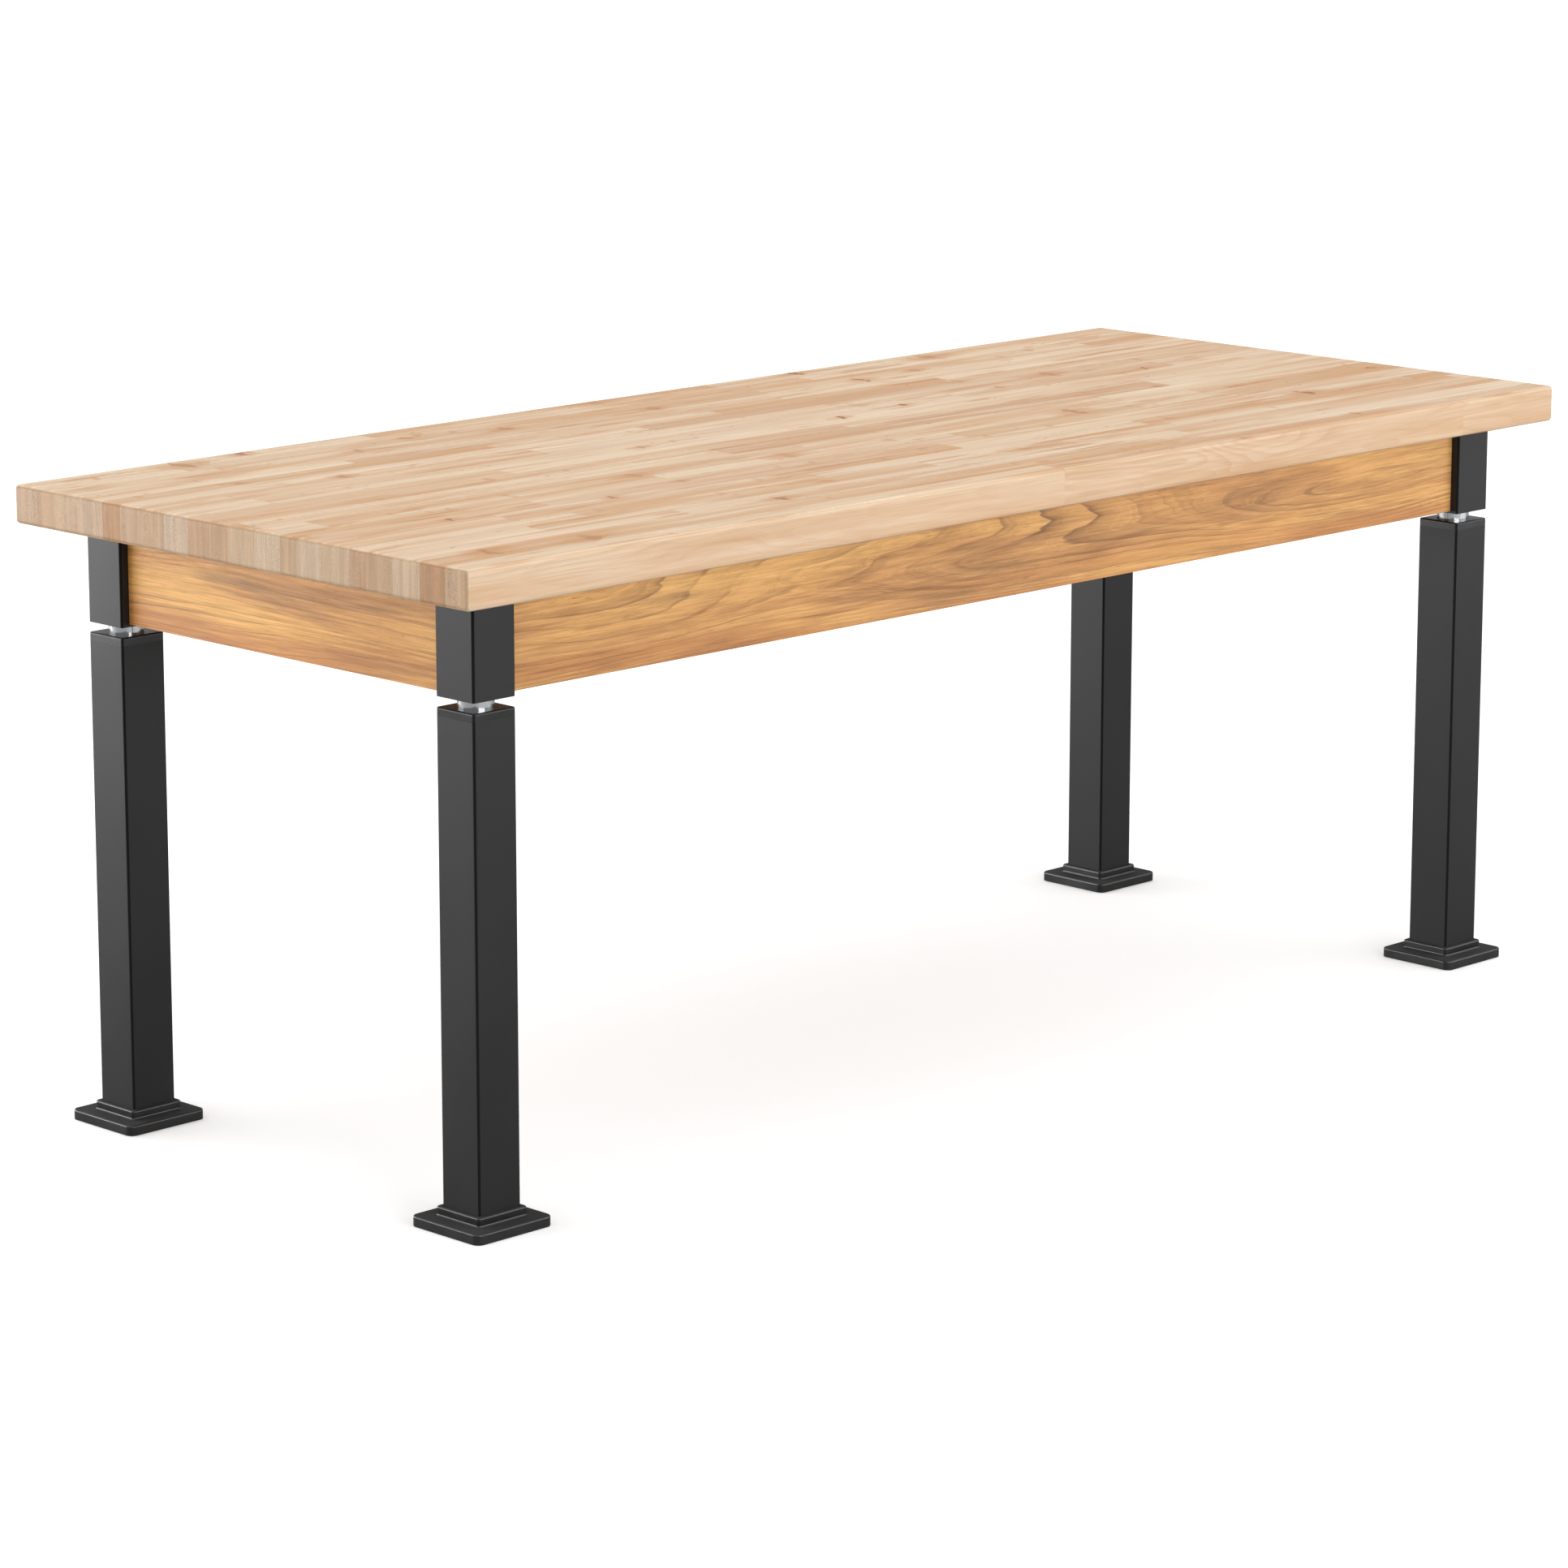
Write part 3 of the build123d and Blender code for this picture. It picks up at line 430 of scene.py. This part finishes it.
def apron_wood(node, seed, tint_and_painted_light=(1.0, 1.0, 1.0), swing=0.135):
    """Flat-sawn golden-brown board. Its growth rings run close and straight along the bottom
    edge and open into flames and ovals towards the top, more so with a larger swing. The tint
    multiplies the board's red, green and blue: partly the board's own colour, partly painted
    light that brightens a board facing less light."""
    def tone(*values):
        return rgb(*(min(255, value * scale) for value, scale in zip(values, tint_and_painted_light)))

    g = Graph(node + "_wood")
    low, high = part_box(node)
    x, y, z = g.split(g.coordinates())
    along, through = (x, y) if high.x - low.x > high.y - low.y else (y, x)
    board = g.join(g.add(along, seed), g.times(through, 0.5), z)
    depth = g.span(z, high.z, low.z, smooth=False)

    # the rings are the contours of a smooth field
    drift = g.noise(board, (1.15, 1.0, 8.0), detail=1.0, roughness=0.40, distortion=0.20)
    ripple = g.noise(board, (4.0, 2.0, 34.0), detail=3.0, roughness=0.55)
    field = g.add(g.times(g.times(depth, depth), DEPTH_SWING), g.times(drift, swing))
    field = g.add(field, g.times(ripple, RIPPLE_SWING))
    ring = g.times(field, 1 / RING_SPACING)
    phase = g.math("FRACT", ring)
    ring_depth = g.random(g.join(g.math("FLOOR", ring), seed, 2.0))[0]
    shadow = g.times(g.span(phase, 0.15, 0.95), g.span(phase, 1.0, 0.92))
    line = g.times(g.span(phase, 0.78, 0.94), g.span(phase, 1.0, 0.95))
    faintness = g.noise(board, (3.4, 1.0, 26.0), detail=3.0, roughness=0.6)
    strength = g.span(ring_depth, 0.0, 1.0, 0.25, 1.0)
    strength = g.times(g.span(faintness, 0.38, 0.62, 0.10, 1.0), strength)
    threads = g.noise(g.join(along, ring, seed), (2.0, 1.9, 1.0), detail=5.0, roughness=0.75)
    lower = g.span(depth, 0.10, 0.80, 0.35, 1.0)

    # golden clouds, then rings, threads, brown smoke, silk, a redder lower edge and pores
    colour = g.ramp(
        g.noise(board, (2.2, 2.0, 17.0), detail=4.0, roughness=0.6, distortion=0.3),
        (0.30, tone(231, 180, 109)),
        (0.44, tone(222, 168, 101)),
        (0.56, tone(205, 150, 91)),
        (0.68, tone(176, 127, 79)),
        (0.80, tone(148, 108, 70)),
    )
    colour = g.mix(g.times(g.times(shadow, strength), 0.62), colour, tone(146, 101, 61))
    colour = g.mix(g.times(g.times(line, strength), 0.62), colour, tone(101, 68, 42))
    dark_thread = g.times(g.span(threads, 0.50, 0.66), lower)
    colour = g.mix(g.times(dark_thread, 0.62), colour, tone(130, 85, 48))
    light_thread = g.times(g.span(threads, 0.46, 0.32), lower)
    colour = g.mix(g.times(light_thread, 0.50), colour, tone(240, 191, 122))
    smoke = g.noise(board, (2.6, 2.0, 34.0), detail=4.0, roughness=0.62, distortion=0.3)
    colour = g.stain(colour, smoke, 0.52, 0.70, 0.55, tone(142, 106, 70))
    silk = g.noise(board, (12.0, 90.0, 330.0), detail=4.0, roughness=0.65)
    colour = g.shade(colour, g.span(silk, 0.30, 0.70, 1.14, 0.84))
    ember = g.noise(board, (1.4, 1.0, 34.0), detail=3.0)
    ember = g.times(g.span(ember, 0.44, 0.62), g.span(depth, 0.45, 1.0))
    colour = g.mix(g.times(ember, 0.42), colour, tone(182, 112, 60))
    pores = g.noise(board, (55.0, 900.0, 1100.0), detail=2.0, roughness=0.6)
    pore_zone = g.span(g.noise(board, (4.0, 20.0, 60.0), detail=2.0), 0.4, 0.6, 0.25, 1.0)
    pore = g.times(g.span(pores, 0.60, 0.70), pore_zone)
    colour = g.mix(g.times(pore, 0.45), colour, tone(96, 62, 38))

    roughness = g.span(silk, 0.3, 0.7, 0.42, 0.55)
    g.set(Base_Color=colour, Roughness=roughness, Specular_IOR_Level=0.3)
    g.bump(g.math("SUBTRACT", g.times(silk, 0.4), pore), WOOD_RELIEF, 0.6)
    return g.material


# ---- metal, plastic and rubber ---------------------------------------------------------------

PAINTED_CORNER_SHADE = 0.35             # base colour on the corners, against that of the faces: painted shade that stands for the dark reflection of a rounded corner


def powder_coat():
    """Satin black powder coat with a very fine orange peel, rougher on the corners, where painted
    shade darkens the colour to stand for a dark reflection.
    """
    g = Graph("black_powder_coat")
    place = g.coordinates()
    peel = g.noise(place, (900.0, 900.0, 900.0), detail=2.0)
    cloud = g.noise(place, (7.0, 7.0, 5.0), detail=3.0)
    colour = g.mix(g.span(cloud, 0.35, 0.65), rgb(22, 22, 23), rgb(27, 27, 27))
    colour = g.stain(colour, peel, 0.35, 0.7, 0.5, rgb(34, 34, 35))
    corner = g.upright_corner()
    # painted shade: the upright corners are darkened to stand for the dark reflection they show
    colour = g.darken(colour, corner, PAINTED_CORNER_SHADE)
    roughness = g.add(g.span(cloud, 0.3, 0.7, 0.44, 0.50), g.span(peel, 0.3, 0.7, -0.03, 0.03))
    roughness = g.add(roughness, g.times(corner, 0.5))
    g.set(Base_Color=colour, Roughness=roughness, Specular_IOR_Level=0.3)
    g.bump(peel, 0.05 * MM, 0.5)
    return g.material


def gloss_black():
    """Moulded black plastic, glossy, with slight flow marks, rougher on the corners, where painted
    shade darkens the colour to stand for a dark reflection.
    """
    g = Graph("gloss_black")
    place = g.coordinates()
    flow = g.noise(place, (18.0, 18.0, 30.0), detail=3.0)
    grain = g.noise(place, (1400.0, 1400.0, 1400.0), detail=1.0)
    colour = g.mix(g.span(flow, 0.35, 0.65), rgb(22, 22, 23), rgb(28, 28, 29))
    corner = g.upright_corner()
    # painted shade: the upright corners are darkened to stand for the dark reflection they show
    colour = g.darken(colour, corner, PAINTED_CORNER_SHADE)
    roughness = g.add(g.span(flow, 0.3, 0.7, 0.22, 0.28), g.times(corner, 0.7))
    g.set(Base_Color=colour, Roughness=roughness, Specular_IOR_Level=0.4)
    g.bump(g.add(g.times(flow, 0.7), g.times(grain, 0.3)), 0.05 * MM, 0.25)
    return g.material


def foot_black():
    """Moulded black plastic of the feet: glossy sides with slight flow marks, and rougher where
    it faces up, where painted shade darkens the colour to stand for a dark reflection."""
    g = Graph("foot_black")
    place = g.coordinates()
    flow = g.noise(place, (22.0, 22.0, 34.0), detail=3.0)
    dust = g.noise(place, (240.0, 240.0, 240.0), detail=3.0)
    colour = g.mix(g.span(flow, 0.35, 0.65), rgb(17, 17, 18), rgb(21, 21, 22))
    colour = g.stain(colour, dust, 0.62, 0.80, 0.12, rgb(40, 39, 38))
    facing_up_painted_shade = g.span(g.split(g.normal())[2], 0.80, 0.99)
    # painted shade: faces that face up are darkened to stand for the dark reflection they show
    colour = g.darken(colour, facing_up_painted_shade, 0.4)
    roughness = g.add(g.span(flow, 0.3, 0.7, 0.28, 0.34), g.times(facing_up_painted_shade, 0.65))
    g.set(Base_Color=colour, Roughness=roughness, Specular_IOR_Level=0.75)
    g.bump(flow, 0.03 * MM, 0.15)
    return g.material


def chrome():
    """Hard chrome, ground and polished round the column."""
    g = Graph("chrome")
    place = g.coordinates()
    hone = g.noise(place, (60.0, 60.0, 2600.0), detail=2.0)
    smear = g.noise(place, (25.0, 25.0, 10.0), detail=3.0)
    colour = g.mix(g.span(smear, 0.3, 0.7), rgb(216, 218, 221), rgb(230, 232, 234))
    g.set(Base_Color=colour, Metallic=1.0, Roughness=g.span(smear, 0.3, 0.7, 0.12, 0.15))
    g.bump(hone, 0.01 * MM, 0.15)
    return g.material


def zinc():
    """Bright zinc plating with faint spangle and handling marks."""
    g = Graph("zinc_steel")
    place = g.coordinates()
    spangle = g.split(g.cells(place, (260.0, 260.0, 260.0))[1])[0]
    marks = g.noise(place, (120.0, 120.0, 700.0), detail=3.0)
    colour = g.mix(spangle, rgb(176, 180, 186), rgb(198, 201, 205))
    roughness = g.add(g.span(spangle, 0.0, 1.0, 0.26, 0.34), g.span(marks, 0.3, 0.7, -0.04, 0.06))
    g.set(Base_Color=colour, Metallic=1.0, Roughness=roughness)
    g.bump(marks, 0.03 * MM, 0.4)
    return g.material


def aluminium():
    """Machined aluminium with tool lines across the block."""
    g = Graph("aluminium")
    place = g.coordinates()
    lines = g.noise(place, (20.0, 2200.0, 2200.0), detail=2.0)
    cloud = g.noise(place, (30.0, 30.0, 30.0), detail=3.0)
    colour = g.mix(g.span(cloud, 0.3, 0.7), rgb(196, 198, 201), rgb(214, 215, 217))
    g.set(Base_Color=colour, Metallic=1.0, Roughness=g.span(lines, 0.3, 0.7, 0.30, 0.42))
    g.bump(lines, 0.03 * MM, 0.5)
    return g.material


def brass():
    """Turned brass, a little dulled in its hollows."""
    g = Graph("brass")
    place = g.coordinates()
    turned = g.noise(place, (400.0, 400.0, 3000.0), detail=1.0)
    dull = g.noise(place, (90.0, 90.0, 90.0), detail=3.0)
    colour = g.mix(g.span(dull, 0.4, 0.7), rgb(214, 178, 104), rgb(180, 143, 78))
    g.set(Base_Color=colour, Metallic=1.0, Roughness=g.span(dull, 0.3, 0.7, 0.22, 0.38))
    g.bump(turned, 0.02 * MM, 0.4)
    return g.material


def nylon():
    """Dark grey moulded nylon with a fine spark-eroded grain."""
    g = Graph("nylon")
    place = g.coordinates()
    grain = g.noise(place, (1100.0, 1100.0, 1100.0), detail=2.0)
    cloud = g.noise(place, (60.0, 60.0, 60.0), detail=2.0)
    colour = g.mix(g.span(cloud, 0.35, 0.65), rgb(58, 59, 61), rgb(70, 71, 73))
    g.set(Base_Color=colour, Roughness=g.span(grain, 0.3, 0.7, 0.42, 0.55))
    g.bump(grain, 0.06 * MM, 0.5)
    return g.material


def hose_rubber():
    """Black hydraulic hose with the print of its textile wrap."""
    g = Graph("hose")
    place = g.coordinates()
    weave = g.noise(place, (1300.0, 1300.0, 1300.0), detail=1.0)
    dust = g.noise(place, (25.0, 25.0, 25.0), detail=3.0)
    colour = g.mix(g.span(dust, 0.4, 0.7), rgb(30, 30, 31), rgb(44, 43, 42))
    g.set(Base_Color=colour, Roughness=g.span(dust, 0.3, 0.7, 0.50, 0.62))
    g.bump(weave, 0.12 * MM, 0.6)
    return g.material


materials = {
    "maple": maple_top(),
    "black_powder_coat": powder_coat(),
    "gloss_black": gloss_black(),
    "foot_black": foot_black(),
    "chrome": chrome(),
    "zinc_steel": zinc(),
    "aluminium": aluminium(),
    "brass": brass(),
    "nylon": nylon(),
    "hose": hose_rubber(),
}
# each board's tint is partly its own colour and partly painted light: the end boards, which face
# less light, are brightened most
boards = {
    "front_apron": apron_wood("front_apron", 8.6, (1.005, 1.007, 1.01), swing=0.16),
    "rear_apron": apron_wood("rear_apron", 6.1, (1.02, 1.02, 1.01)),
    "left_apron": apron_wood("left_apron", 7.7, (1.085, 1.065, 0.95)),
    "right_apron": apron_wood("right_apron", 9.2, (1.06, 1.05, 0.97)),
}

for part in frame["record"]["subparts"]:
    node = frame["nodes"][part["node"]]
    if part["node"].endswith("_foot"):
        finish = materials["foot_black"]
    else:
        finish = boards.get(part["node"]) or materials[part["material_slot"]]
    node.data.materials.clear()
    node.data.materials.append(finish)


# ---- floor, light and camera -----------------------------------------------------------------

FLOOR_REACH = 60.0
FLOOR_DROP = 0.3 * MM           # below the soles, so that the two never share a plane
SOLE_REACH = 2 * MM             # shorter rays pass the floor, so that light gets to the soles
FLOOR_GLOW = 0.21
DOME_AT_HORIZON = 0.24
DOME_OVERHEAD = 1.18
DOME_TURN = 0.7                 # height on the unit sphere at which the dome is brightest

# name, place, aim, width, height, watts
SOFTBOXES = (
    ("left", (-3.2, 4.4, 0.55), (0.0, 0.3, 0.4), 5.6, 0.95, 157.0),
    ("behind", (-1.5, 3.2, 0.40), (0.6, 0.0, 0.35), 2.2, 0.6, 38.0),
    ("right", (2.5, -3.5, 0.60), (0.0, 0.0, 0.4), 3.4, 0.9, 56.0),
    ("front", (-1.2, -5.0, 1.4), (0.0, 0.0, 0.6), 3.4, 1.8, 92.0),
)

CAMERA_PLACE = (-4.637, -4.5517, 1.7577)
CAMERA_AZIMUTH = math.radians(-44.977)
CAMERA_ELEVATION = math.radians(12.202)
CAMERA_SHIFT = (0.00637, -0.02189)
CAMERA_LENS = 126.77            # mm, as is the sensor
CAMERA_SENSOR = 36.0
CAMERA_CLIP = (0.1, 200.0)


def floor_white():
    """White that lights the object less than it shows, as a sweep lit from behind does. It is
    seen from above only, and lets light through to the soles."""
    g = Graph("studio_floor")
    path = g.nodes.new("ShaderNodeLightPath")
    mottle = g.noise(g.coordinates(), (0.6, 0.6, 0.6), detail=2.0)
    white = g.mix(mottle, rgb(250, 250, 250), rgb(252, 252, 252))
    returned = g.mix(path.outputs["Is Glossy Ray"], rgb(158, 158, 158), rgb(154, 154, 154))
    g.set(Base_Color=g.mix(path.outputs["Is Camera Ray"], returned, white))
    g.set(Roughness=0.9, Specular_IOR_Level=0.0, Emission_Color=rgb(255, 255, 255))
    g.set(Emission_Strength=g.times(path.outputs["Is Camera Ray"], FLOOR_GLOW))
    one_sided = g.nodes.new("ShaderNodeMixShader")
    under = g.nodes.new("ShaderNodeNewGeometry").outputs["Backfacing"]
    at_sole = g.math("LESS_THAN", path.outputs["Ray Length"], SOLE_REACH)
    g.links.new(g.math("MAXIMUM", under, at_sole), one_sided.inputs[0])
    g.links.new(g.shader.outputs["BSDF"], one_sided.inputs[1])
    g.links.new(g.nodes.new("ShaderNodeBsdfTransparent").outputs[0], one_sided.inputs[2])
    g.links.new(one_sided.outputs[0], g.output.inputs["Surface"])
    return g.material


def studio_floor():
    """Wide floor, just under the feet at every height of the table."""
    mesh = bpy.data.meshes.new("floor")
    around = ((-1, -1), (1, -1), (1, 1), (-1, 1))
    corners = [(x * FLOOR_REACH, y * FLOOR_REACH, -FLOOR_DROP) for x, y in around]
    mesh.from_pydata(corners, [], [(0, 1, 2, 3)])
    mesh.materials.append(floor_white())
    floor = bpy.data.objects.new("floor", mesh)
    bpy.context.scene.collection.objects.link(floor)
    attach(floor, "front_left_leg")


def softbox(name, place, aim, width, height, watts):
    """Rectangular soft light at a place, facing a point."""
    light = bpy.data.lights.new(name, "AREA")
    light.shape = "RECTANGLE"
    light.size = width
    light.size_y = height
    light.energy = watts
    lamp = bpy.data.objects.new(name, light)
    lamp.location = place
    lamp.rotation_euler = (Vector(aim) - Vector(place)).to_track_quat("-Z", "Y").to_euler()
    lamp.visible_camera = False
    bpy.context.scene.collection.objects.link(lamp)


def studio_world():
    """White dome, dimmer towards the horizon except where it is seen as the backdrop."""
    world = bpy.data.worlds.new("studio")
    world.use_nodes = True
    nodes, links = world.node_tree.nodes, world.node_tree.links
    background = nodes["Background"]
    background.inputs["Color"].default_value = (1.0, 1.0, 1.0, 1.0)
    split = nodes.new("ShaderNodeSeparateXYZ")
    height = nodes.new("ShaderNodeMapRange")
    height.inputs["From Min"].default_value = 0.0
    height.inputs["From Max"].default_value = DOME_TURN
    height.inputs["To Min"].default_value = DOME_AT_HORIZON
    height.inputs["To Max"].default_value = DOME_OVERHEAD
    links.new(nodes.new("ShaderNodeTexCoord").outputs["Generated"], split.inputs[0])
    links.new(split.outputs[2], height.inputs["Value"])
    strength = nodes.new("ShaderNodeMath")
    strength.operation = "MAXIMUM"
    links.new(height.outputs[0], strength.inputs[0])
    links.new(nodes.new("ShaderNodeLightPath").outputs["Is Camera Ray"], strength.inputs[1])
    links.new(strength.outputs[0], background.inputs["Strength"])
    bpy.context.scene.world = world


def photo_camera():
    """Long lens, low three-quarter view over the front left corner."""
    data = bpy.data.cameras.new("camera")
    data.lens = CAMERA_LENS
    data.sensor_width = CAMERA_SENSOR
    data.shift_x, data.shift_y = CAMERA_SHIFT
    data.clip_start, data.clip_end = CAMERA_CLIP
    camera = bpy.data.objects.new("camera", data)
    camera.location = CAMERA_PLACE
    camera.rotation_euler = (math.pi / 2 - CAMERA_ELEVATION, 0.0, CAMERA_AZIMUTH)
    bpy.context.scene.collection.objects.link(camera)
    bpy.context.scene.camera = camera


studio_floor()
studio_world()
for box in SOFTBOXES:
    softbox(*box)
photo_camera()
bpy.context.scene.view_settings.view_transform = "Standard"
